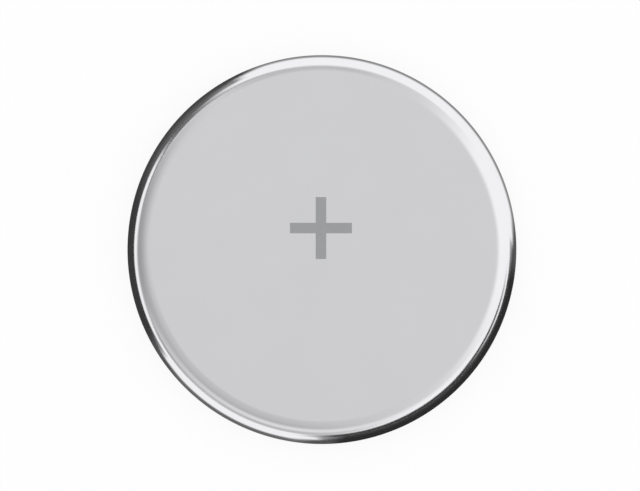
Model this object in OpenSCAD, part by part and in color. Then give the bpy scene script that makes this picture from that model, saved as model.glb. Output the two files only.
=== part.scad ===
// Lithium coin cell, 20 mm across and 3.2 mm high, in millimetres.
// It lies on its negative cap at Z = 0, with the can's positive face up.
// Every piece is turned about Z from a half section, drawn with the radius along X
// and the height along Y.

/* [Cell] */
// Diameter over the can's wall
cell_d = 20; // [18:0.1:26]
// Height over the negative and the positive face
cell_h = 3.2; // [2.9:0.1:5.4]

/* [Positive can] */
// Thickness of the can's sheet
can_t = 0.25; // [0.2:0.01:0.3]
// Outside radius of the corner round the positive face
can_corner_r = 1.2; // [0.5:0.05:1.4]
// Outside radius of the crimp that closes the can's mouth
crimp_r = 1; // [0.8:0.05:1.2]
// Width of the crimped lip, from the outside of the wall to the mouth
lip_w = 1.12; // [0.95:0.01:1.3]
// Height of the lip above the negative face, so that only the cap touches a contact
lip_z = 0.15; // [0.1:0.01:0.2]

/* [Gasket] */
// Thickness between the can's wall and the cap's skirt
gasket_t = 0.4; // [0.3:0.01:0.5]
// Thickness between the can's lip and the cap's flange, where the crimp squeezes it
gasket_crimp_t = 0.2; // [0.12:0.01:0.3]
// Thickness of the foot between the end of the skirt and the can's floor
gasket_foot_t = 0.45; // [0.35:0.01:0.6]
// Thickness of the leg inside the skirt
gasket_leg_t = 0.35; // [0.25:0.01:0.45]
// Height of the leg, from the can's floor
gasket_leg_h = 1; // [0.7:0.05:1.3]
// Bevel on the free end of the leg
gasket_leg_bevel = 0.12; // [0.05:0.01:0.2]
// Width of the bead that shows inside the can's mouth
gasket_bead_w = 0.24; // [0.15:0.01:0.3]
// How far the bead swells past the inside of the lip
gasket_bead_swell = 0.07; // [0.03:0.01:0.12]

/* [Negative cap] */
// Thickness of the cap's sheet
cap_t = 0.25; // [0.2:0.01:0.3]
// Width of the flange, from the step to the outside of the skirt
cap_flange_w = 1.3; // [1.1:0.01:1.6]
// Outside radius of the shoulder round the negative face
cap_shoulder_r = 0.4; // [0.32:0.01:0.5]
// Outside radius of the hollow bend between the step and the flange
cap_hollow_r = 0.15; // [0.1:0.01:0.2]
// Outside radius of the bend between the flange and the skirt
cap_rim_r = 0.35; // [0.3:0.01:0.45]

/* [Lithium anode] */
// How far the lithium stands above the inside of the cap's flange
lithium_proud = 0.05; // [0.02:0.01:0.2]
// Clearance between the lithium's edge and the cap
lithium_gap = 0.1; // [0.05:0.01:0.3]

/* [Separator] */
// Thickness of the separator
separator_t = 0.2; // [0.1:0.01:0.3]
// Height of its turned-up edge, from its underside
separator_edge_h = 1; // [0.6:0.05:1.4]
// Outside radius of the bend at its edge
separator_bend_r = 0.3; // [0.24:0.01:0.5]
// Free ring between the separator's edge and the gasket's leg, for electrolyte
electrolyte_gap = 0.6; // [0.3:0.05:1]

/* [Cathode] */
// Thickness of the collector ring's sheet
ring_t = 0.15; // [0.1:0.01:0.2]
// Height of the collector ring, from the can's floor
ring_h = 1.4; // [0.8:0.05:1.6]
// Width of the ring's foot, from its outside
ring_foot_w = 1; // [0.6:0.05:1.5]
// Outside radius of the bend between the ring's wall and its foot
ring_bend_r = 0.25; // [0.2:0.01:0.4]
// Clearance between the ring and the separator's edge
ring_gap = 0.05; // [0.02:0.01:0.15]
// Bevel round the pellet's pressed edge
pellet_bevel = 0.2; // [0.1:0.01:0.4]

/* [Hidden] */
$fn = 96;

// The can's inside
can_r = cell_d / 2;
bore_r = can_r - can_t;
floor_z = cell_h - can_t;
mouth_r = can_r - lip_w;

// The cap's flange lies under the gasket at the lip, and its skirt stands in the gasket.
flange_z = lip_z + can_t + gasket_crimp_t;
skirt_r = bore_r - gasket_t;
skirt_bore_r = skirt_r - cap_t;
skirt_end_z = floor_z - gasket_foot_t;
step_r = skirt_r - cap_flange_w;
shoulder_r = min(cap_shoulder_r, flange_z - cap_hollow_r);

// The gasket's leg lines the inside of the skirt, and its bead lies between lip and flange.
leg_bore_r = skirt_bore_r - gasket_leg_t;
leg_end_z = floor_z - gasket_leg_h;
bead_r = mouth_r - gasket_bead_w;
bead_z = lip_z + can_t - gasket_bead_swell;
bead_round_r = gasket_bead_w / 2;

// The stack between the cap and the can's floor: lithium, separator, pellet
lithium_r = step_r - cap_t - lithium_gap;
lithium_end_z = cap_t + flange_z + lithium_proud;
pellet_z = lithium_end_z + separator_t;

// The radii from the gasket's leg inwards: separator, ring, pellet
separator_r = leg_bore_r - electrolyte_gap;
ring_r = separator_r - separator_t - ring_gap;
ring_foot_r = ring_r - ring_foot_w;
pellet_r = ring_r - ring_t;

can_steel = [0.80, 0.80, 0.81];
cap_steel = [0.76, 0.76, 0.77];
natural_plastic = [0.88, 0.88, 0.84];
lithium_grey = [0.66, 0.67, 0.69];
cloth_white = [0.93, 0.93, 0.91];
pellet_black = [0.10, 0.10, 0.11];
ring_steel = [0.62, 0.62, 0.63];

// Sections

// What lies between a square corner at the origin and a round of radius r in it
module spandrel(r) {
    if (r > 0)
        difference() {
            square(r);
            translate([r, r]) circle(r);
        }
}

// A disc's half section from z0 to z1, with its outer corners rounded
module disc_section(r, z0, z1, low_round = 0, high_round = 0) {
    difference() {
        translate([0, z0]) square([r, z1 - z0]);
        translate([r, z0]) mirror([1, 0]) spandrel(low_round);
        translate([r, z1]) rotate(180) spandrel(high_round);
    }
}

// The shape that the can's sheet wraps: its outside at depth 0, its inside at depth can_t
module can_form(depth) {
    disc_section(can_r - depth, lip_z + depth, cell_h - depth,
                 crimp_r - depth, can_corner_r - depth);
}

// The shape that the cap's sheet wraps: its outside at depth 0, its inside at depth cap_t
module cap_form(depth) {
    hollow = cap_hollow_r + depth;
    disc_section(step_r - depth, depth, skirt_end_z, shoulder_r - depth);
    disc_section(skirt_r - depth, flange_z + depth, skirt_end_z, cap_rim_r - depth);
    translate([step_r - depth, flange_z + depth]) mirror([0, 1]) spandrel(hollow);
}

// A straight ring's half section
module ring_section(inner_r, outer_r, z0, z1) {
    translate([inner_r, z0]) square([outer_r - inner_r, z1 - z0]);
}

// A bevel's triangle at a corner, running inwards along X and upwards along Y
module bevel(size) {
    polygon([[0, 0], [-size, 0], [0, size]]);
}

// Pieces

module positive_can() {
    color(can_steel) rotate_extrude() difference() {
        can_form(0);
        can_form(can_t);
        ring_section(0, mouth_r, 0, cell_h / 2);
    }
}

module negative_cap() {
    color(cap_steel) rotate_extrude() difference() {
        cap_form(0);
        cap_form(cap_t);
    }
}

// The gasket fills the can's crimp round the cap, so its outside is the can's inside.
module gasket() {
    color(natural_plastic) rotate_extrude() {
        difference() {
            intersection() {
                can_form(can_t);
                ring_section(bead_r, can_r, 0, cell_h);
            }
            cap_form(0);
            ring_section(0, leg_bore_r, skirt_end_z, cell_h);
        }
        difference() {
            ring_section(bead_r, mouth_r, bead_z, flange_z);
            translate([bead_r, bead_z]) spandrel(bead_round_r);
        }
        difference() {
            ring_section(leg_bore_r, skirt_bore_r, leg_end_z, skirt_end_z);
            translate([leg_bore_r, leg_end_z]) mirror([1, 0]) bevel(gasket_leg_bevel);
        }
    }
}

module lithium_anode() {
    color(lithium_grey) rotate_extrude()
        disc_section(lithium_r, cap_t, lithium_end_z, shoulder_r - cap_t);
}

module separator() {
    edge_z = lithium_end_z + separator_edge_h;
    color(cloth_white) rotate_extrude() difference() {
        disc_section(separator_r, lithium_end_z, edge_z, separator_bend_r);
        disc_section(separator_r - separator_t, pellet_z, edge_z,
                     separator_bend_r - separator_t);
    }
}

module collector_ring() {
    end_z = floor_z - ring_h;
    color(ring_steel) rotate_extrude() difference() {
        disc_section(ring_r, end_z, floor_z, 0, ring_bend_r);
        disc_section(pellet_r, end_z, floor_z - ring_t, 0, ring_bend_r - ring_t);
        ring_section(0, ring_foot_r, end_z, floor_z);
    }
}

// The pellet is pressed into the ring, so it fills it down to the can's floor.
module cathode_pellet() {
    color(pellet_black) rotate_extrude() {
        difference() {
            disc_section(pellet_r, pellet_z, floor_z - ring_t, 0, ring_bend_r - ring_t);
            translate([pellet_r, pellet_z]) bevel(pellet_bevel);
        }
        ring_section(0, ring_foot_r, pellet_z, floor_z);
    }
}

positive_can();
gasket();
negative_cap();
lithium_anode();
separator();
cathode_pellet();
collector_ring();
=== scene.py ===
"""A lithium coin cell lying on its negative cap, seen square on from above in a white studio.

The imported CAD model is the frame. The can, the gasket and the cap show, so each is turned
again here from its CAD half section, with rings fine enough for a bright plated surface.
The sealed pieces keep their CAD meshes and get finishes of their own.
"""

from __future__ import annotations

import logging
import math
from dataclasses import dataclass, field
from enum import Enum

import bpy
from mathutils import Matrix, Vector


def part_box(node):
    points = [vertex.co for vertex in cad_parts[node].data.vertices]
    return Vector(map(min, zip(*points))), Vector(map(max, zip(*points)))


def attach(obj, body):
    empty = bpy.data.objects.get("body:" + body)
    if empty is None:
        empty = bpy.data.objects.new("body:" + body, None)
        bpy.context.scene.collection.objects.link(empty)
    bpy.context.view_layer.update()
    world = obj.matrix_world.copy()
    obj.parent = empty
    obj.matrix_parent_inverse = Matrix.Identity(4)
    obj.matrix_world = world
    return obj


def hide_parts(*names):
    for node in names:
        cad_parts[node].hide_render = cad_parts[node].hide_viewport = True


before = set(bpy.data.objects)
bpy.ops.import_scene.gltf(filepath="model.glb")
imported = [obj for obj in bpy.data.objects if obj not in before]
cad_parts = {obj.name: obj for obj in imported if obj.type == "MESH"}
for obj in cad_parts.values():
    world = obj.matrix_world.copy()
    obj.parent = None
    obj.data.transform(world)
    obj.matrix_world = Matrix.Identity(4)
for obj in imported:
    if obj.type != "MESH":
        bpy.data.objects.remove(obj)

MM = 0.001
ROOT_BODY = "root"
LOG = logging.getLogger("coin_cell")

Point = tuple[float, float]
Place = tuple[float, float, float]
Range = tuple[float, float]
Colour = tuple[float, float, float]
Socket = bpy.types.NodeSocket
Source = Socket | float

# Nearly all of a noise lies between these values.
NOISE_RANGE = (0.3, 0.7)


class Slot(Enum):
    """Names of material slots for the pieces that are made here, which the pieces are not given."""

    CAN = "can_steel"
    GASKET = "gasket_plastic"
    CAP = "cap_steel"


class Wiring:
    """Adds nodes to a node tree and joins their sockets."""

    def __init__(self, tree: bpy.types.NodeTree) -> None:
        """Takes a tree and empties it.

        Args:
            tree: The shader, world or geometry tree to build in.
        """
        self.tree = tree
        tree.nodes.clear()

    def add(self, kind: str, *sources: Source, **settings: object) -> bpy.types.Node:
        """Adds a node, sets its properties and feeds its first inputs.

        Args:
            kind: The node's type name.
            sources: What its first inputs take, in order.
            settings: Properties of the node by name.

        Returns:
            The new node.
        """
        node = self.tree.nodes.new(kind)
        for name, value in settings.items():
            setattr(node, name, value)
        for socket, source in zip(node.inputs, sources):
            self.feed(socket, source)
        return node

    def feed(self, socket: Socket, source: Source) -> None:
        """Joins an input to an output, or gives it a plain value.

        Args:
            socket: The input.
            source: The output or the value.
        """
        if isinstance(source, Socket):
            self.tree.links.new(source, socket)
        else:
            socket.default_value = source

    def maths(self, operation: str, *sources: Source) -> Socket:
        """Returns a Math node's result."""
        return self.add("ShaderNodeMath", *sources, operation=operation).outputs[0]

    def split(self, vector: Socket) -> bpy.types.NodeOutputs:
        """Returns a vector's X, Y and Z."""
        return self.add("ShaderNodeSeparateXYZ", vector).outputs

    def join(self, x: Socket, y: Socket, z: Socket) -> Socket:
        """Returns a vector with the given X, Y and Z."""
        return self.add("ShaderNodeCombineXYZ", x, y, z).outputs[0]


class ShaderWiring(Wiring):
    """Adds what the shaders share."""

    def place(self) -> Socket:
        """Returns the piece's own coordinates, in metres."""
        return self.add("ShaderNodeTexCoord").outputs["Object"]

    def seen(self) -> Socket:
        """Tells the rays that show what they meet from those that only light things.

        Returns:
            1 for camera, mirror and glass rays, and 0 for all others.
        """
        path = self.add("ShaderNodeLightPath").outputs
        clear = self.maths("MAXIMUM", path["Is Glossy Ray"], path["Is Transmission Ray"])
        return self.maths("MAXIMUM", path["Is Camera Ray"], clear)

    def remap(self, value: Socket, given: Range, wanted: Range = (0.0, 1.0)) -> Socket:
        """Carries one range over to another, with a smooth stop at both ends."""
        node = self.add("ShaderNodeMapRange", value, *given, *wanted, interpolation_type="SMOOTHSTEP")
        return node.outputs["Result"]

    def mean(self, first: Socket, second: Socket) -> Socket:
        """Returns the mean of two values."""
        return self.maths("MULTIPLY", self.maths("ADD", first, second), 0.5)

    def blend(self, share: Socket, first: Socket, second: Socket) -> Socket:
        """Mixes two values.

        Args:
            share: The second value's share, from 0 to 1.
            first: The value at a share of 0.
            second: The value at a share of 1.

        Returns:
            The mixed value.
        """
        node = self.add("ShaderNodeMix", share, data_type="FLOAT")
        self.feed(node.inputs["A"], first)
        self.feed(node.inputs["B"], second)
        return node.outputs[0]

    def mixed(self, share: Source, first: Socket, second: Socket) -> Socket:
        """Returns a mix of two shaders, by the second one's share."""
        return self.add("ShaderNodeMixShader", share, first, second).outputs[0]

    def noise(self, vector: Socket, size: float, detail: float = 3.0) -> Socket:
        """Adds a Noise Texture.

        Args:
            vector: Coordinates in metres.
            size: Size of its clouds, in metres.
            detail: How many finer layers it has.

        Returns:
            Its value, from 0 to 1.
        """
        node = self.add("ShaderNodeTexNoise", vector)
        node.inputs["Scale"].default_value = 1 / size
        node.inputs["Detail"].default_value = detail
        return node.outputs[0]

    def streaks(self, vector: Socket, sizes: Place) -> Socket:
        """Adds a noise that is drawn out into streaks.

        Args:
            vector: Coordinates in metres.
            sizes: Size of the streaks along each axis, in metres.

        Returns:
            Its value, from 0 to 1.
        """
        node = self.add("ShaderNodeMapping", vector)
        node.inputs["Scale"].default_value = [1 / size for size in sizes]
        return self.noise(node.outputs[0], 1.0)

    def cells(self, vector: Socket, size: float) -> Socket:
        """Adds a Voronoi Texture.

        Args:
            vector: Coordinates in metres.
            size: Size of its cells, in metres.

        Returns:
            The distance to the nearest cell's centre, as a share of that size.
        """
        node = self.add("ShaderNodeTexVoronoi", vector)
        node.inputs["Scale"].default_value = 1 / size
        return node.outputs["Distance"]

    def round_axis(self, vector: Socket, radius: float) -> Socket:
        """Unrolls coordinates about Z.

        Args:
            vector: Coordinates in metres.
            radius: Radius at which the unrolled length is true.

        Returns:
            Coordinates whose X is the length round the axis, Y the radius and Z the height.
        """
        x, y, z = self.split(vector)
        squares = self.maths("ADD", self.maths("MULTIPLY", x, x), self.maths("MULTIPLY", y, y))
        length = self.maths("MULTIPLY", self.maths("ARCTAN2", y, x), radius)
        return self.join(length, self.maths("SQRT", squares), z)


class Surface(ShaderWiring):
    """The nodes of a finish, round a Principled shader."""

    # Where a Mix node has its colour sockets, whose names its other sockets share
    MIX_COLOUR_INPUTS = (6, 7)
    MIX_COLOUR_OUTPUT = 2

    def __init__(self, tree: bpy.types.NodeTree) -> None:
        """Joins a Principled shader to the tree's output.

        Args:
            tree: The material's tree.
        """
        super().__init__(tree)
        shader = self.add("ShaderNodeBsdfPrincipled")
        self.inputs = shader.inputs
        self.add("ShaderNodeOutputMaterial", shader.outputs[0])

    def paint(self, value: Socket, low: Colour, high: Colour) -> None:
        """Mixes the base colour from two.

        Args:
            value: A pattern from 0 to 1.
            low: The colour where it is 0.
            high: The colour where it is 1.
        """
        node = self.add("ShaderNodeMix", value, data_type="RGBA")
        for index, colour in zip(self.MIX_COLOUR_INPUTS, (low, high)):
            node.inputs[index].default_value = (*colour, 1.0)
        self.feed(self.inputs["Base Color"], node.outputs[self.MIX_COLOUR_OUTPUT])

    def roughen(self, noise: Socket, middle: float, spread: float) -> None:
        """Lets the roughness follow a noise, by a spread to each side of its middle."""
        followed = self.remap(noise, NOISE_RANGE, (middle - spread, middle + spread))
        self.feed(self.inputs["Roughness"], followed)

    def emboss(self, pattern: Socket, height: float) -> None:
        """Bumps the surface.

        Args:
            pattern: A pattern from 0 to 1.
            height: How high the surface stands where it is 1, in metres.
        """
        node = self.add("ShaderNodeBump")
        node.inputs["Distance"].default_value = height
        self.feed(node.inputs["Height"], pattern)
        self.feed(self.inputs["Normal"], node.outputs[0])


@dataclass(frozen=True)
class Finish:
    """What every finish has: a name, a colour and a roughness."""

    name: str
    colour: Colour
    roughness: float

    METALLIC = 0.0

    def material(self) -> bpy.types.Material:
        """Makes the finish's material.

        Returns:
            A material with a Principled shader, dressed by the finish's own pattern.
        """
        made = bpy.data.materials.new(self.name)
        made.use_nodes = True
        surface = Surface(made.node_tree)
        surface.inputs["Roughness"].default_value = self.roughness
        surface.inputs["Metallic"].default_value = self.METALLIC
        self.dress(surface)
        made.diffuse_color = (*self.colour, 1.0)
        return made

    def dress(self, surface: Surface) -> None:
        """Lays the finish's pattern on a surface."""
        raise NotImplementedError

    def dimmed(self, loss: float) -> Colour:
        """Returns the finish's colour less a share of its light."""
        return tuple(channel * (1 - loss) for channel in self.colour)


@dataclass(frozen=True)
class PlatedSteel(Finish):
    """Bright nickel plate over rolled sheet, with draw lines where the sheet turns down."""

    flat_radius: float
    grain_pitch: float = 0.045 * MM
    grain_length: float = 2.4 * MM
    grain_height: float = 0.00004 * MM
    line_pitch: float = 0.06 * MM
    line_fade: float = 0.65 * MM
    cloud_size: float = 2.6 * MM
    cloud_detail: float = 2.0
    cloud_range: Range = (0.35, 0.65)
    colour_spread: float = 0.012
    roughness_spread: float = 0.015

    METALLIC = 1.0

    def dress(self, surface: Surface) -> None:
        """Lays a rolled grain on the flat and draw lines on the rim.

        Args:
            surface: The surface to dress.
        """
        place = surface.place()
        grain = surface.streaks(place, (self.grain_length, self.grain_pitch, self.grain_length))
        unrolled = surface.round_axis(place, self.flat_radius)
        lines = surface.streaks(unrolled, (self.line_pitch, self.grain_length, self.grain_length))
        radius = surface.split(unrolled)[1]
        on_rim = surface.remap(radius, (self.flat_radius - self.line_fade, self.flat_radius))
        pattern = surface.blend(on_rim, grain, lines)
        cloud = surface.noise(place, self.cloud_size, self.cloud_detail)
        light = surface.remap(surface.mean(pattern, cloud), self.cloud_range)
        surface.paint(light, self.dimmed(self.colour_spread), self.colour)
        surface.roughen(pattern, self.roughness, self.roughness_spread)
        surface.emboss(pattern, self.grain_height)


@dataclass(frozen=True)
class SatinSteel(Finish):
    """Nickel plate over sheet that was roughened to take a contact, with fine pits."""

    pit_size: float = 0.09 * MM
    pit_height: float = 0.00025 * MM
    pit_wall: Range = (0.1, 0.6)
    cloud_size: float = 1.8 * MM
    colour_spread: float = 0.03
    roughness_spread: float = 0.03

    METALLIC = 1.0

    def dress(self, surface: Surface) -> None:
        """Covers the sheet with pits and faint clouds.

        Args:
            surface: The surface to dress.
        """
        place = surface.place()
        pits = surface.remap(surface.cells(place, self.pit_size), self.pit_wall)
        cloud = surface.noise(place, self.cloud_size)
        light = surface.remap(surface.mean(pits, cloud), NOISE_RANGE)
        surface.paint(light, self.dimmed(self.colour_spread), self.colour)
        surface.roughen(cloud, self.roughness, self.roughness_spread)
        surface.emboss(pits, self.pit_height)


@dataclass(frozen=True)
class EtchedSteel(Finish):
    """Plate that a laser has dulled in close parallel passes."""

    pass_pitch: float = 0.05 * MM
    pass_height: float = 0.0006 * MM
    pass_waver: float = 0.6
    cloud_size: float = 0.15 * MM
    cloud_detail: float = 1.0
    colour_spread: float = 0.03

    METALLIC = 1.0

    # How many bands a wave texture has to the metre, at a scale of 1
    WAVE_BANDS = 3.2

    def dress(self, surface: Surface) -> None:
        """Rules the mark with the laser's passes.

        Args:
            surface: The surface to dress.
        """
        place = surface.place()
        cloud = surface.noise(place, self.cloud_size, self.cloud_detail)
        passes = surface.add("ShaderNodeTexWave", place, bands_direction="Y")
        passes.inputs["Scale"].default_value = 1 / (self.WAVE_BANDS * self.pass_pitch)
        passes.inputs["Distortion"].default_value = self.pass_waver
        pattern = surface.mean(passes.outputs["Fac"], cloud)
        surface.paint(pattern, self.dimmed(self.colour_spread), self.colour)
        surface.emboss(pattern, self.pass_height)


@dataclass(frozen=True)
class NaturalPlastic(Finish):
    """Undyed polypropylene, slightly cloudy where it was squeezed."""

    cloud_size: float = 0.5 * MM
    cloud_range: Range = (0.35, 0.65)
    colour_spread: float = 0.06
    skin_size: float = MM / 24
    skin_height: float = 0.001 * MM
    scatter: float = 0.35
    scatter_radius: Colour = (1.0, 0.95, 0.85)
    scatter_depth: float = 0.25 * MM
    refraction: float = 1.49

    def dress(self, surface: Surface) -> None:
        """Clouds the plastic and lets light into it.

        Args:
            surface: The surface to dress.
        """
        place = surface.place()
        cloud = surface.remap(surface.noise(place, self.cloud_size), self.cloud_range)
        surface.paint(cloud, self.dimmed(self.colour_spread), self.colour)
        surface.emboss(surface.noise(place, self.skin_size), self.skin_height)
        surface.inputs["Subsurface Weight"].default_value = self.scatter
        surface.inputs["Subsurface Radius"].default_value = self.scatter_radius
        surface.inputs["Subsurface Scale"].default_value = self.scatter_depth
        surface.inputs["IOR"].default_value = self.refraction


@dataclass(frozen=True)
class RolledLithium(Finish):
    """Soft metal strip, streaked by the rolls and dulled by a thin tarnish."""

    streak_pitch: float = 0.12 * MM
    streak_length: float = 4 * MM
    streak_height: float = 0.002 * MM
    roughness_spread: float = 0.1
    tarnish: Colour = (0.42, 0.42, 0.44)
    tarnish_size: float = 1.6 * MM
    tarnish_border: Range = (0.45, 0.7)

    METALLIC = 1.0

    def dress(self, surface: Surface) -> None:
        """Streaks the strip and tarnishes it in patches.

        Args:
            surface: The surface to dress.
        """
        place = surface.place()
        streaks = surface.streaks(place, (self.streak_length, self.streak_pitch, self.streak_length))
        patches = surface.remap(surface.noise(place, self.tarnish_size), self.tarnish_border)
        surface.paint(patches, self.colour, self.tarnish)
        surface.roughen(streaks, self.roughness, self.roughness_spread)
        surface.emboss(streaks, self.streak_height)


@dataclass(frozen=True)
class Nonwoven(Finish):
    """A mat of fine polymer fibres that lie every way."""

    fibre_pitch: float = 0.03 * MM
    fibre_length: float = 0.6 * MM
    fibre_height: float = 0.012 * MM
    shadow: Colour = (0.70, 0.70, 0.68)
    shadow_range: Range = (0.4, 0.65)
    sheen: float = 0.2

    def dress(self, surface: Surface) -> None:
        """Crosses two layers of fibres.

        Args:
            surface: The surface to dress.
        """
        place = surface.place()
        along = surface.streaks(place, (self.fibre_length, self.fibre_pitch, self.fibre_pitch))
        across = surface.streaks(place, (self.fibre_pitch, self.fibre_length, self.fibre_pitch))
        mat = surface.maths("MAXIMUM", along, across)
        surface.paint(surface.remap(mat, self.shadow_range), self.shadow, self.colour)
        surface.emboss(mat, self.fibre_height)
        surface.inputs["Sheen Weight"].default_value = self.sheen


@dataclass(frozen=True)
class PressedOxide(Finish):
    """Black oxide powder pressed into a tablet, with glints of graphite."""

    grain_size: float = 0.06 * MM
    grain_height: float = 0.006 * MM
    speck_size: float = 0.12 * MM
    speck_detail: float = 4.0
    speck_border: Range = (0.58, 0.68)
    graphite: Colour = (0.16, 0.16, 0.17)
    graphite_roughness: float = 0.4

    def dress(self, surface: Surface) -> None:
        """Grains the tablet and scatters graphite over it.

        Args:
            surface: The surface to dress.
        """
        place = surface.place()
        specks = surface.noise(place, self.speck_size, self.speck_detail)
        graphite = surface.remap(specks, self.speck_border)
        surface.paint(graphite, self.colour, self.graphite)
        rough = surface.remap(graphite, (0.0, 1.0), (self.roughness, self.graphite_roughness))
        surface.feed(surface.inputs["Roughness"], rough)
        surface.emboss(surface.cells(place, self.grain_size), self.grain_height)


@dataclass
class Outline:
    """A half section as points of radius and height, which run counter-clockwise round it.

    A straight run of more than four holds gets a point one hold off each end, so that the
    rounding of a bend doesn't shade the flat beside it.
    """

    points: list[Point] = field(default_factory=list)
    hold: float = 0.03 * MM
    bend_step: float = math.radians(3.0)

    LEAST_HOLDS = 4
    FEWEST_STEPS = 4
    SAME_SPOT = 1e-9

    def run(self, r: float, z: float) -> Outline:
        """Draws a straight run to a point, or starts there.

        Args:
            r: Radius of the run's end.
            z: Height of the run's end.

        Returns:
            The outline, so that runs and bends can follow each other.
        """
        if self.points:
            r0, z0 = self.points[-1]
            length = math.hypot(r - r0, z - z0)
            if length > self.LEAST_HOLDS * self.hold:
                for share in (self.hold / length, 1 - self.hold / length):
                    self.points.append((r0 + (r - r0) * share, z0 + (z - z0) * share))
        self.points.append((r, z))
        return self

    def bend(self, r: float, z: float, radius: float, start: float, turn: float) -> Outline:
        """Draws a bend, whose first point joins the last run.

        Args:
            r: Radius of the bend's centre.
            z: Height of the bend's centre.
            radius: The bend's own radius.
            start: Direction of its first point from its centre, in degrees from outwards.
            turn: How far it turns, in degrees, with upwards from outwards as positive.

        Returns:
            The outline.
        """
        steps = max(self.FEWEST_STEPS, math.ceil(abs(math.radians(turn)) / self.bend_step))
        for step in range(steps + 1):
            angle = math.radians(start + turn * step / steps)
            self.points.append((r + radius * math.cos(angle), z + radius * math.sin(angle)))
        return self

    def closed(self) -> list[Point]:
        """Closes the outline, unless it starts and ends on the axis.

        Returns:
            The points with none doubled, and the first again at the end of a ring.
        """
        kept: list[Point] = []
        for point in self.points:
            if not kept or math.dist(point, kept[-1]) > self.SAME_SPOT:
                kept.append(point)
        on_axis = kept[0][0] == 0 and kept[-1][0] == 0
        met = math.dist(kept[0], kept[-1]) < self.SAME_SPOT
        return kept if on_axis or met else [*kept, kept[0]]


def placed(name: str, data: bpy.types.ID) -> bpy.types.Object:
    """Adds an object to the scene.

    Args:
        name: The object's name.
        data: Its mesh, lamp or camera.

    Returns:
        The object.
    """
    made = bpy.data.objects.new(name, data)
    bpy.context.scene.collection.objects.link(made)
    return made


def faced(name: str, vertices: list[Place], faces: list[list[int]],
          material: bpy.types.Material) -> bpy.types.Object:
    """Adds an object from its faces.

    Args:
        name: The object's name.
        vertices: Its corners.
        faces: The corners of each face, counter-clockwise from outside.
        material: Its material.

    Returns:
        The object.
    """
    mesh = bpy.data.meshes.new(name)
    mesh.from_pydata(vertices, [], faces)
    mesh.materials.append(material)
    return placed(name, mesh)


def slab(name: str, outline: list[Point], low: float, high: float,
         material: bpy.types.Material) -> bpy.types.Object:
    """Raises a flat outline into a closed slab.

    Args:
        name: The slab's name.
        outline: Its outline as points of X and Y, counter-clockwise.
        low: Height of its underside.
        high: Height of its top.
        material: Its material.

    Returns:
        The slab, in place.
    """
    count = len(outline)
    vertices = [(x, y, z) for z in (low, high) for x, y in outline]
    faces = [list(reversed(range(count))), list(range(count, 2 * count))]
    for i in range(count):
        j = (i + 1) % count
        faces.append([i, j, count + j, count + i])
    return faced(name, vertices, faces, material)


def made_plain(piece: bpy.types.Object) -> bpy.types.Object:
    """Replaces a piece's modifiers by the mesh that they make.

    Args:
        piece: A mesh object with live modifiers.

    Returns:
        The same object, with a plain mesh and no modifier.
    """
    evaluated = piece.evaluated_get(bpy.context.evaluated_depsgraph_get())
    mesh = bpy.data.meshes.new_from_object(evaluated)
    piece.modifiers.clear()
    piece.data = mesh
    mesh.name = piece.name
    return piece


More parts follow.
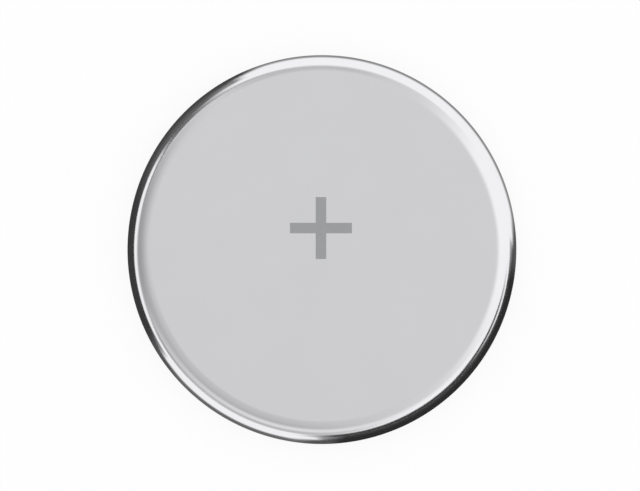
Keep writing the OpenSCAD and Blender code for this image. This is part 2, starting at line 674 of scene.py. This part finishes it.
class TurningLathe:
    """A Geometry Nodes tree that turns a half section about Z into a closed shell."""

    WELD = 1e-7

    def __init__(self, sides: int, crease: float) -> None:
        """Builds the tree.

        Args:
            sides: How many sides the turned rings have.
            crease: Angle in radians above which an edge stays sharp.
        """
        self.sides = sides
        self.crease = crease
        self.tree = bpy.data.node_groups.new("turn_half_section", "GeometryNodeTree")
        self.sockets: dict[str, str] = {}
        self._declare()
        self._build()

    def _declare(self) -> None:
        """Names the tree's inputs and its output."""
        for name, kind in (("Section", "NodeSocketGeometry"), ("Sides", "NodeSocketInt"),
                           ("Crease", "NodeSocketFloat"), ("Finish", "NodeSocketMaterial")):
            socket = self.tree.interface.new_socket(name, in_out="INPUT", socket_type=kind)
            self.sockets[name] = socket.identifier
        self.tree.interface.new_socket("Shell", in_out="OUTPUT", socket_type="NodeSocketGeometry")

    def _build(self) -> None:
        """Wires the tree: each column of a grid takes one point of the section, turned by its row.

        The rows turn clockwise, so that a section drawn counter-clockwise faces outwards.
        """
        wiring = Wiring(self.tree)
        maths = wiring.maths
        given = wiring.add("NodeGroupInput").outputs
        size = wiring.add("GeometryNodeAttributeDomainSize", given["Section"], component="MESH")
        points = size.outputs["Point Count"]
        grid = wiring.add("GeometryNodeMeshGrid")
        wiring.feed(grid.inputs["Vertices X"], points)
        wiring.feed(grid.inputs["Vertices Y"], maths("ADD", given["Sides"], 1.0))
        place = wiring.add("GeometryNodeInputPosition").outputs[0]
        across, along, _ = wiring.split(place)
        last = maths("SUBTRACT", points, 1.0)
        column = maths("ROUND", maths("MULTIPLY", maths("ADD", across, 0.5), last))
        angle = maths("MULTIPLY", maths("ADD", along, 0.5), -math.tau)
        sample = wiring.add("GeometryNodeSampleIndex", given["Section"], data_type="FLOAT_VECTOR",
                            domain="POINT")
        wiring.feed(sample.inputs["Value"], place)
        wiring.feed(sample.inputs["Index"], column)
        radius, _, height = wiring.split(sample.outputs[0])
        x = maths("MULTIPLY", radius, maths("COSINE", angle))
        y = maths("MULTIPLY", radius, maths("SINE", angle))
        moved = wiring.add("GeometryNodeSetPosition", grid.outputs["Mesh"])
        wiring.feed(moved.inputs["Position"], wiring.join(x, y, height))
        welded = wiring.add("GeometryNodeMergeByDistance", moved.outputs[0])
        welded.inputs["Distance"].default_value = self.WELD
        smooth = wiring.add("GeometryNodeSetShadeSmooth", welded.outputs[0], domain="FACE")
        smooth.inputs["Shade Smooth"].default_value = True
        edge = wiring.add("GeometryNodeInputMeshEdgeAngle").outputs["Unsigned Angle"]
        bent = wiring.add("FunctionNodeCompare", edge, given["Crease"], data_type="FLOAT",
                          operation="GREATER_THAN")
        sharp = wiring.add("GeometryNodeSetShadeSmooth", smooth.outputs[0], domain="EDGE")
        wiring.feed(sharp.inputs["Selection"], bent.outputs[0])
        sharp.inputs["Shade Smooth"].default_value = False
        real = wiring.add("GeometryNodeRealizeInstances", sharp.outputs[0])
        dressed = wiring.add("GeometryNodeSetMaterial", real.outputs[0])
        wiring.feed(dressed.inputs["Material"], given["Finish"])
        wiring.add("NodeGroupOutput", dressed.outputs[0])

    def turn(self, name: str, section: list[Point], material: bpy.types.Material) -> bpy.types.Object:
        """Turns a section into a piece.

        Args:
            name: The piece's name.
            section: Points of radius and height, in order round the section.
            material: The piece's material.

        Returns:
            The piece, as a plain mesh in place.
        """
        mesh = bpy.data.meshes.new(name)
        edges = [(i, i + 1) for i in range(len(section) - 1)]
        mesh.from_pydata([(r, 0.0, z) for r, z in section], edges, [])
        piece = placed(name, mesh)
        modifier = piece.modifiers.new("turn", "NODES")
        modifier.node_group = self.tree
        modifier[self.sockets["Sides"]] = self.sides
        modifier[self.sockets["Crease"]] = self.crease
        modifier[self.sockets["Finish"]] = material
        return made_plain(piece)


@dataclass
class CanShell:
    """The positive can: a drawn cup whose mouth is crimped inwards."""

    radius: float
    top: float
    lip_z: float
    sheet: float = 0.25 * MM
    corner: float = 1.2 * MM
    crimp: float = 1.0 * MM
    lip: float = 1.12 * MM

    def __post_init__(self) -> None:
        """Works out the can's inside, its mouth and the centres of its bends."""
        self.bore, self.floor = self.radius - self.sheet, self.top - self.sheet
        self.mouth, self.inside_lip = self.radius - self.lip, self.lip_z + self.sheet
        self.crimp_r, self.crimp_z = self.radius - self.crimp, self.lip_z + self.crimp
        self.flat_radius, self.corner_z = self.radius - self.corner, self.top - self.corner

    def section(self) -> list[Point]:
        """Draws the cup's half section, from the inside of its floor round to the outside.

        Returns:
            Its points.
        """
        line = Outline().run(0.0, self.floor).run(self.flat_radius, self.floor)
        line.bend(self.flat_radius, self.corner_z, self.corner - self.sheet, 90, -90)
        line.run(self.bore, self.crimp_z)
        line.bend(self.crimp_r, self.crimp_z, self.crimp - self.sheet, 0, -90)
        line.run(self.mouth, self.inside_lip).run(self.mouth, self.lip_z)
        line.run(self.crimp_r, self.lip_z).bend(self.crimp_r, self.crimp_z, self.crimp, -90, 90)
        line.run(self.radius, self.corner_z)
        line.bend(self.flat_radius, self.corner_z, self.corner, 0, 90).run(0.0, self.top)
        return line.closed()


@dataclass
class CapShell:
    """The negative cap: a stepped cup with a skirt."""

    skirt_radius: float
    skirt_end: float
    flange_z: float
    sheet: float = 0.25 * MM
    flange: float = 1.3 * MM
    shoulder: float = 0.4 * MM
    hollow: float = 0.15 * MM
    rim: float = 0.35 * MM

    def __post_init__(self) -> None:
        """Works out the cap's step, the inside of its skirt and the centres of its bends."""
        self.step, self.skirt_bore = self.skirt_radius - self.flange, self.skirt_radius - self.sheet
        self.shoulder_r = self.step - self.shoulder
        self.hollow_r, self.hollow_z = self.step + self.hollow, self.flange_z - self.hollow
        self.rim_r, self.rim_z = self.skirt_radius - self.rim, self.flange_z + self.rim

    def section(self) -> list[Point]:
        """Draws the cap's half section, from the outside of its face round to the inside.

        Returns:
            Its points.
        """
        line = Outline().run(0.0, 0.0).run(self.shoulder_r, 0.0)
        line.bend(self.shoulder_r, self.shoulder, self.shoulder, -90, 90)
        line.run(self.step, self.hollow_z).bend(self.hollow_r, self.hollow_z, self.hollow, 180, -90)
        line.run(self.rim_r, self.flange_z).bend(self.rim_r, self.rim_z, self.rim, -90, 90)
        line.run(self.skirt_radius, self.skirt_end).run(self.skirt_bore, self.skirt_end)
        line.run(self.skirt_bore, self.rim_z)
        line.bend(self.rim_r, self.rim_z, self.rim - self.sheet, 0, -90)
        line.run(self.hollow_r, self.flange_z + self.sheet)
        line.bend(self.hollow_r, self.hollow_z, self.hollow + self.sheet, 90, 90)
        line.run(self.step - self.sheet, self.shoulder)
        line.bend(self.shoulder_r, self.shoulder, self.shoulder - self.sheet, 0, -90)
        line.run(0.0, self.sheet)
        return line.closed()


@dataclass
class GasketRing:
    """The gasket: a J section that fills the crimp between the can and the cap."""

    can: CanShell
    cap: CapShell
    bead_z: float
    leg: float = 0.35 * MM
    leg_height: float = 1.0 * MM
    leg_bevel: float = 0.12 * MM
    bead: float = 0.24 * MM

    def section(self) -> list[Point]:
        """Draws the gasket's half section, from the bead's underside round to the bead.

        Returns:
            Its points.
        """
        can, cap = self.can, self.cap
        leg_bore, leg_end = cap.skirt_bore - self.leg, can.floor - self.leg_height
        bead_bore, bead_round = can.mouth - self.bead, self.bead / 2
        bead_r, bead_top = bead_bore + bead_round, self.bead_z + bead_round
        line = Outline().run(bead_r, self.bead_z).run(can.mouth, self.bead_z)
        line.run(can.mouth, can.inside_lip).run(can.crimp_r, can.inside_lip)
        line.bend(can.crimp_r, can.crimp_z, can.crimp - can.sheet, -90, 90)
        line.run(can.bore, can.corner_z)
        line.bend(can.flat_radius, can.corner_z, can.corner - can.sheet, 0, 90)
        line.run(leg_bore, can.floor).run(leg_bore, leg_end + self.leg_bevel)
        line.run(leg_bore + self.leg_bevel, leg_end).run(cap.skirt_bore, leg_end)
        line.run(cap.skirt_bore, cap.skirt_end).run(cap.skirt_radius, cap.skirt_end)
        line.run(cap.skirt_radius, cap.rim_z).bend(cap.rim_r, cap.rim_z, cap.rim, 0, -90)
        line.run(bead_bore, cap.flange_z).run(bead_bore, bead_top)
        line.bend(bead_r, bead_top, bead_round, 180, 90)
        return line.closed()


@dataclass
class Case:
    """The three pieces that show: can, gasket and cap."""

    flange_z: float = 0.6 * MM
    lathe_sides: int = 256
    lathe_crease: float = math.radians(25)

    def __post_init__(self) -> None:
        """Takes the case's other sizes from the CAD frame."""
        can_low, can_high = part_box("positive_can")
        cap_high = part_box("negative_cap")[1]
        self.can = CanShell(radius=can_high.x, top=can_high.z, lip_z=can_low.z)
        self.cap = CapShell(skirt_radius=cap_high.x, skirt_end=cap_high.z, flange_z=self.flange_z)
        self.gasket = GasketRing(can=self.can, cap=self.cap, bead_z=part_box("gasket")[0].z)

    def build(self) -> None:
        """Turns the three pieces and stands them in for their CAD nodes."""
        lathe = TurningLathe(self.lathe_sides, self.lathe_crease)
        plated = PlatedSteel("bright_plate", (0.88, 0.88, 0.90), 0.12, flat_radius=self.can.flat_radius)
        satin = SatinSteel("satin_plate", (0.80, 0.80, 0.81), 0.34)
        plastic = NaturalPlastic("natural_plastic", (0.88, 0.88, 0.84), 0.42)
        for name, node, section, finish, slot in (
                ("can_shell", "positive_can", self.can.section(), plated, Slot.CAN),
                ("cap_shell", "negative_cap", self.cap.section(), satin, Slot.CAP),
                ("gasket_ring", "gasket", self.gasket.section(), plastic, Slot.GASKET)):
            piece = lathe.turn(name, section, finish.material())
            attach(piece, ROOT_BODY)
            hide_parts(node)
            LOG.info("%s: %d section points, %d faces", name, len(section), len(piece.data.polygons))


class SealedPieces:
    """What the case holds: the CAD nodes keep their meshes and get their finishes."""

    FINISHES = {
        "lithium_anode": RolledLithium("rolled_lithium", (0.66, 0.67, 0.69), 0.40),
        "separator": Nonwoven("nonwoven", (0.90, 0.90, 0.88), 0.85),
        "cathode_pellet": PressedOxide("pressed_oxide", (0.012, 0.012, 0.014), 0.8),
        "collector_ring": SatinSteel("stainless_sheet", (0.62, 0.62, 0.63), 0.32),
    }

    def dress(self) -> None:
        """Gives each sealed node its finish."""
        for node, finish in self.FINISHES.items():
            material = finish.material()
            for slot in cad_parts[node].material_slots:
                slot.material = material
            LOG.info("%s: finish %s", node, finish.name)


@dataclass
class FaceMarks:
    """The plain plus sign that a laser leaves on the positive face."""

    face_z: float
    proud: float = 0.004 * MM
    sunk: float = 0.02 * MM
    plus_centre: Point = (-0.05 * MM, 1.105 * MM)
    plus_span: float = 3.18 * MM
    plus_bar: float = 0.54 * MM

    def plus_outline(self) -> list[Point]:
        """Draws the plus sign, counter-clockwise, one arm at a time.

        Returns:
            The outline's points.
        """
        reach, half = self.plus_span / 2, self.plus_bar / 2
        arm = [(reach, -half), (reach, half), (half, half)]
        outline: list[Point] = []
        for _ in range(4):
            outline += arm
            arm = [(-y, x) for x, y in arm]
        return [(x + self.plus_centre[0], y + self.plus_centre[1]) for x, y in outline]

    def build(self) -> None:
        """Lays the plus sign on the face."""
        etched = EtchedSteel("etched_plate", (0.505, 0.516, 0.525), 0.5).material()
        low, high = self.face_z - self.sunk, self.face_z + self.proud
        plus = slab("plus_mark", self.plus_outline(), low, high, etched)
        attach(plus, ROOT_BODY)
        LOG.info("plus_mark: %d faces", len(plus.data.polygons))


def emission(name: str, radiance: float, fade: str) -> bpy.types.Material:
    """Makes a card's material, which isn't lit and isn't sampled as a lamp.

    Args:
        name: The material's name.
        radiance: What the card shows, where 1 is white.
        fade: An attribute of the mesh that says how much of the card shows.

    Returns:
        The material.
    """
    made = bpy.data.materials.new(name)
    made.use_nodes = True
    made.cycles.emission_sampling = "NONE"
    wiring = ShaderWiring(made.node_tree)
    glow = wiring.add("ShaderNodeEmission")
    glow.inputs["Strength"].default_value = radiance
    share = wiring.add("ShaderNodeAttribute", attribute_name=fade).outputs["Fac"]
    clear = wiring.add("ShaderNodeBsdfTransparent").outputs[0]
    wiring.add("ShaderNodeOutputMaterial", wiring.mixed(share, clear, glow.outputs[0]))
    return made


def smooth_step(value: float) -> float:
    """Returns the smooth rise from 0 to 1."""
    value = min(1.0, max(0.0, value))
    return value * value * (3 - 2 * value)


def polar(azimuth: float, out: float, z: float) -> Place:
    """Returns a place from its azimuth in degrees, its distance from the axis and its height."""
    turn = math.radians(azimuth)
    return out * math.cos(turn), out * math.sin(turn), z


@dataclass(frozen=True)
class Span:
    """A stretch between two values, with a soft border inside each end."""

    low: float
    high: float
    low_soft: float = 0.0
    high_soft: float = 0.0

    def share(self, value: float) -> float:
        """Tells how much of a card shows.

        Args:
            value: A value in the span.

        Returns:
            The share that shows there, from 0 to 1.
        """
        rise = smooth_step((value - self.low) / self.low_soft) if self.low_soft else 1.0
        fall = smooth_step((self.high - value) / self.high_soft) if self.high_soft else 1.0
        return rise * fall

    def steps(self, count: int) -> list[float]:
        """Returns evenly spaced values from end to end."""
        return [self.low + (self.high - self.low) * i / count for i in range(count + 1)]


@dataclass(frozen=True)
class StudioCard:
    """A card that only mirror reflections see, over a span of azimuths and one of reaches.

    Azimuths are in degrees, counter-clockwise from +X.
    """

    name: str
    radiance: float
    azimuth: Span
    reach: Span

    FADE = "fade"
    ACROSS = 96
    ALONG = 40

    def point(self, azimuth: float, reach: float) -> Place:
        """Returns the place of a card's point."""
        raise NotImplementedError

    def build(self) -> None:
        """Makes the card, with its soft borders as an attribute of its mesh."""
        azimuths, reaches = self.azimuth.steps(self.ACROSS), self.reach.steps(self.ALONG)
        spots = [(azimuth, reach) for azimuth in azimuths for reach in reaches]
        row = len(reaches)
        corners = [i * row + j for i in range(self.ACROSS) for j in range(self.ALONG)]
        faces = [[k, k + row, k + row + 1, k + 1] for k in corners]
        material = emission(self.name, self.radiance, self.FADE)
        card = faced(self.name, [self.point(*spot) for spot in spots], faces, material)
        shares = [self.azimuth.share(azimuth) * self.reach.share(reach) for azimuth, reach in spots]
        card.data.attributes.new(self.FADE, "FLOAT", "POINT").data.foreach_set("value", shares)
        card.visible_camera = False
        card.visible_diffuse = False
        card.visible_shadow = False
        LOG.info("%s: radiance %.2f", self.name, self.radiance)


@dataclass(frozen=True)
class DomeCard(StudioCard):
    """Part of a dome round the cell, whose reach is an elevation in degrees.

    The slant raises it by so many degrees of elevation for each degree of azimuth from its
    middle.
    """

    distance: float
    slant: float = 0.0

    def point(self, azimuth: float, reach: float) -> Place:
        """Finds the place of a card's point.

        Args:
            azimuth: Its direction in degrees.
            reach: Its elevation in degrees.

        Returns:
            The place in metres.
        """
        middle = (self.azimuth.low + self.azimuth.high) / 2
        rise = math.radians(reach + self.slant * (azimuth - middle))
        return polar(azimuth, self.distance * math.cos(rise), self.distance * math.sin(rise))


@dataclass(frozen=True)
class FloorSheet(StudioCard):
    """A sheet over the floor, whose reach is a radius in metres."""

    height: float

    def point(self, azimuth: float, reach: float) -> Place:
        """Returns the place of a card's point."""
        return polar(azimuth, reach, self.height)


# Light reaches the cell's underside through a window in the floor, and sheets start outside it.
FLOOR_WINDOW = 9.15 * MM
SHEET_START = 9.6 * MM
SHEET_END = 0.36
SHEET_END_SOFT = 0.2


def far_reach(start: float, soft: float) -> Span:
    """Returns the radii from a start with a soft border to the sheets' far end."""
    return Span(start, SHEET_END, soft, SHEET_END_SOFT)


def near_reach(end: float, soft: float, start: float = SHEET_START) -> Span:
    """Returns the radii from under the cell's rim to an end with a soft border."""
    return Span(start, end, 0.0, soft)


# A card has a name, a radiance, an azimuth, a reach, and a distance or a height. Where cards
# overlap, the nearer one hides the other, and where sheets do, the higher one.
CARDS = (
    DomeCard("overhead_card", 0.70, Span(0, 360), Span(17, 90, 10), 0.47),
    DomeCard("upper_shade", 0.56, Span(62, 128, 22, 22), Span(24, 54, 6, 18), 0.465),
    DomeCard("left_veil", 0.60, Span(180, 300, 35, 40), Span(60, 87, 14, 3), 0.4625),
    DomeCard("left_card", 0.50, Span(120, 305, 75, 50), Span(13, 85, 10, 32), 0.46),
    DomeCard("left_shade", 0.36, Span(118, 228, 70, 48), Span(20, 63, 6, 30), 0.455),
    DomeCard("low_left_card", 0.79, Span(187, 315, 66, 20), Span(25, 52, 8, 12), 0.45),
    DomeCard("low_left_glow", 0.66, Span(194, 248, 14, 24), Span(26, 36, 3, 4), 0.445),
    DomeCard("right_softbox", 1.0, Span(-62, 64, 50, 36), Span(0, 76, 0, 24), 0.44),
    DomeCard("low_right_softbox", 1.0, Span(278, 345, 24, 20), Span(14, 48, 4, 22), 0.43),
    DomeCard("upper_left_line", 0.44, Span(88, 150, 28, 12), Span(14.5, 27, 5, 5), 0.425, slant=-0.2),
    DomeCard("left_line", 0.06, Span(136, 178, 14, 28), Span(16, 25, 4, 4), 0.42, slant=0.3),
    DomeCard("lower_left_line", 0.25, Span(200, 240, 9, 28), Span(13, 22, 4, 4), 0.42),
    DomeCard("lower_line", 0.55, Span(225, 285, 15, 15), Span(13, 22, 4, 4), 0.42),
    DomeCard("right_line", 0.02, Span(316, 358, 6, 20), Span(7, 19.5, 3, 4), 0.415),
    DomeCard("right_flag", 0.04, Span(261, 342, 14, 24), Span(-1, 18, 0, 7), 0.41),
    DomeCard("left_flag", 0.16, Span(112.5, 157, 24, 16), Span(-1, 23, 0, 8), 0.41),
    DomeCard("left_horizon", 0.07, Span(117, 216, 14, 8), Span(-3, 2.5, 0, 3), 0.40),
    DomeCard("right_horizon", 0.05, Span(268, 345, 12, 20), Span(-3, 2.5, 0, 3), 0.40),
    FloorSheet("upper_left_edge", 0.30, Span(114.5, 130, 5, 12), far_reach(12 * MM, 14 * MM), 0.1 * MM),
    FloorSheet("lower_left_edge", 0.33, Span(204, 215.5, 9, 5), far_reach(13 * MM, 14 * MM), 0.1 * MM),
    FloorSheet("lower_edge", 0.30, Span(267.5, 278, 3, 7), far_reach(13 * MM, 14 * MM), 0.1 * MM),
    FloorSheet("right_edge", 0.48, Span(350, 364, 14, 3), far_reach(13 * MM, 14 * MM), 0.1 * MM),
    FloorSheet("upper_left_foot", 0.06, Span(107, 125, 9, 5), near_reach(17 * MM, 5 * MM), 0.11 * MM),
    FloorSheet("lower_left_foot", 0.09, Span(205, 225, 5, 9), near_reach(18.5 * MM, 6 * MM), 0.11 * MM),
    FloorSheet("lower_foot", 0.09, Span(260, 276, 8, 4), near_reach(22 * MM, 9 * MM), 0.11 * MM),
    FloorSheet("right_foot", 0.10, Span(350, 372, 8, 9), near_reach(18 * MM, 6 * MM), 0.11 * MM),
    FloorSheet("left_haze", 0.12, Span(113, 172, 6, 28), far_reach(10 * MM, 8 * MM), 0.09 * MM),
    FloorSheet("right_haze", 0.055, Span(275, 364, 8, 5), far_reach(16 * MM, 10 * MM), 0.08 * MM),
    FloorSheet("left_paper", 0.045, Span(115.6, 215.5, 5, 5.5), far_reach(SHEET_START, 0.0), 0.06 * MM),
    FloorSheet("right_paper", 0.028, Span(268.2, 363.5, 4, 4), far_reach(SHEET_START, 0.0), 0.06 * MM),
    # Painted shadow: these two dark sheets round the cell's foot are seen only in mirror reflections, and
    # stand in for the cell's contact shadow on the floor.
    FloorSheet("contact_shade", 0.14, Span(190, 285, 36, 30), near_reach(17 * MM, 4 * MM, FLOOR_WINDOW),
               0.045 * MM),
    FloorSheet("contact_shadow_ring", 0.25, Span(0, 360), near_reach(14.5 * MM, 3 * MM, FLOOR_WINDOW), 0.03 * MM),
    DomeCard("under_card", 0.56, Span(0, 360), Span(-90, -30, 0, 30), 0.46),
)


@dataclass
class Studio:
    """Floor, backdrop, lamp and cards."""

    floor_drop: float = 0.01 * MM
    floor_reach: float = 1.2
    floor_sides: int = 96
    floor_colour: Colour = (0.95, 0.95, 0.95)
    floor_shown_white: float = 0.88
    crimp_shade: Range = (9.5 * MM, 9.98 * MM)
    ambient_above: float = 0.75
    ambient_below: float = 1.0
    horizon: Range = (-0.1, 0.1)
    lamp_height: float = 0.5
    lamp_size: float = 0.45
    lamp_radiance: float = 1.5

    def build_floor(self) -> None:
        """Makes the floor, a disc that is seen from above only."""
        turns = [360 * i / self.floor_sides for i in range(self.floor_sides)]
        rim = [polar(turn, self.floor_reach, -self.floor_drop) for turn in turns]
        floor = faced("floor", rim, [list(range(self.floor_sides))], self.floor_material())

    def floor_material(self) -> bpy.types.Material:
        """Makes the floor's material: matte, and mostly plain white where it is seen.

        Its underside is clear, and so is a window under the cell for all but camera rays, so
        that light reaches the cell's underside and the cell can be seen from below. Under the
        crimp it is matte alone, which keeps the cell's contact shadow dark.

        Returns:
            The material.
        """
        made = bpy.data.materials.new("floor")
        made.use_nodes = True
        made.cycles.emission_sampling = "NONE"
        wiring = ShaderWiring(made.node_tree)
        maths = wiring.maths
        matte = wiring.add("ShaderNodeBsdfDiffuse")
        matte.inputs["Color"].default_value = (*self.floor_colour, 1.0)
        glow = wiring.add("ShaderNodeEmission").outputs[0]
        clear = wiring.add("ShaderNodeBsdfTransparent").outputs[0]
        from_axis = wiring.add("ShaderNodeVectorMath", wiring.place(), operation="LENGTH").outputs["Value"]
        white = wiring.remap(from_axis, self.crimp_shade, (0.0, self.floor_shown_white))
        shown = wiring.mixed(maths("MULTIPLY", wiring.seen(), white), matte.outputs[0], glow)
        camera = wiring.add("ShaderNodeLightPath").outputs["Is Camera Ray"]
        in_window = maths("LESS_THAN", from_axis, FLOOR_WINDOW)
        window = maths("MULTIPLY", in_window, maths("SUBTRACT", 1.0, camera))
        underside = wiring.add("ShaderNodeNewGeometry").outputs["Backfacing"]
        one_sided = wiring.mixed(maths("MAXIMUM", window, underside), shown, clear)
        wiring.add("ShaderNodeOutputMaterial", one_sided)
        return made

    def build_backdrop(self) -> None:
        """Sets the world: white where it is seen, and a plain soft light elsewhere."""
        world = bpy.data.worlds.new("backdrop")
        bpy.context.scene.world = world
        world.use_nodes = True
        world.cycles.sampling_method = "NONE"
        wiring = ShaderWiring(world.node_tree)
        heading = wiring.split(wiring.add("ShaderNodeTexCoord").outputs["Generated"])
        ambient = wiring.remap(heading[2], self.horizon, (self.ambient_below, self.ambient_above))
        sky = wiring.add("ShaderNodeBackground")
        sky.inputs["Color"].default_value = (1.0, 1.0, 1.0, 1.0)
        wiring.feed(sky.inputs["Strength"], wiring.maths("MAXIMUM", wiring.seen(), ambient))
        wiring.add("ShaderNodeOutputWorld", sky.outputs[0])

    def build_lamp(self) -> None:
        """Hangs one large soft lamp over the cell, which mirror reflections leave out."""
        data = bpy.data.lights.new("softbox", "AREA")
        data.shape = "DISK"
        data.size = self.lamp_size
        data.energy = self.lamp_radiance * math.pi * math.pi * (self.lamp_size / 2) ** 2
        lamp = placed("softbox", data)
        lamp.location = (0.0, 0.0, self.lamp_height)
        lamp.visible_glossy = False
        lamp.visible_camera = False

    def build(self) -> None:
        """Builds the studio."""
        self.build_floor()
        self.build_backdrop()
        self.build_lamp()
        for card in CARDS:
            card.build()


@dataclass
class ProductCamera:
    """A long lens that looks straight down, with the photo's framing."""

    rim_radius: float
    rim_z: float
    photo_width: float = 640.0
    photo_height: float = 491.0
    photo_centre: Point = (321.92, 249.59)
    photo_radius: float = 194.49
    distance: float = 0.5
    sensor: float = 36.0
    clip: Range = (0.01, 10.0)

    def build(self) -> None:
        """Makes the camera and sets it as the scene's."""
        metres_per_pixel = self.rim_radius / self.photo_radius
        data = bpy.data.cameras.new("product_camera")
        data.sensor_width = self.sensor
        data.lens = self.sensor * self.distance / (self.photo_width * metres_per_pixel)
        data.clip_start, data.clip_end = self.clip
        camera = placed("product_camera", data)
        camera.location = (
            (self.photo_width / 2 - self.photo_centre[0]) * metres_per_pixel,
            (self.photo_centre[1] - self.photo_height / 2) * metres_per_pixel,
            self.rim_z + self.distance)
        bpy.context.scene.camera = camera
        LOG.info("product_camera: lens %.0f mm", data.lens)


def main() -> None:
    """Builds the scene, piece by piece."""
    logging.basicConfig(level=logging.INFO, format="%(name)s: %(message)s")
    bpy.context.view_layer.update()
    case = Case()
    case.build()
    SealedPieces().dress()
    FaceMarks(face_z=case.can.top).build()
    Studio().build()
    ProductCamera(rim_radius=case.can.radius, rim_z=case.can.corner_z).build()
    bpy.context.scene.view_settings.view_transform = "Standard"


if __name__ == "__main__":
    main()
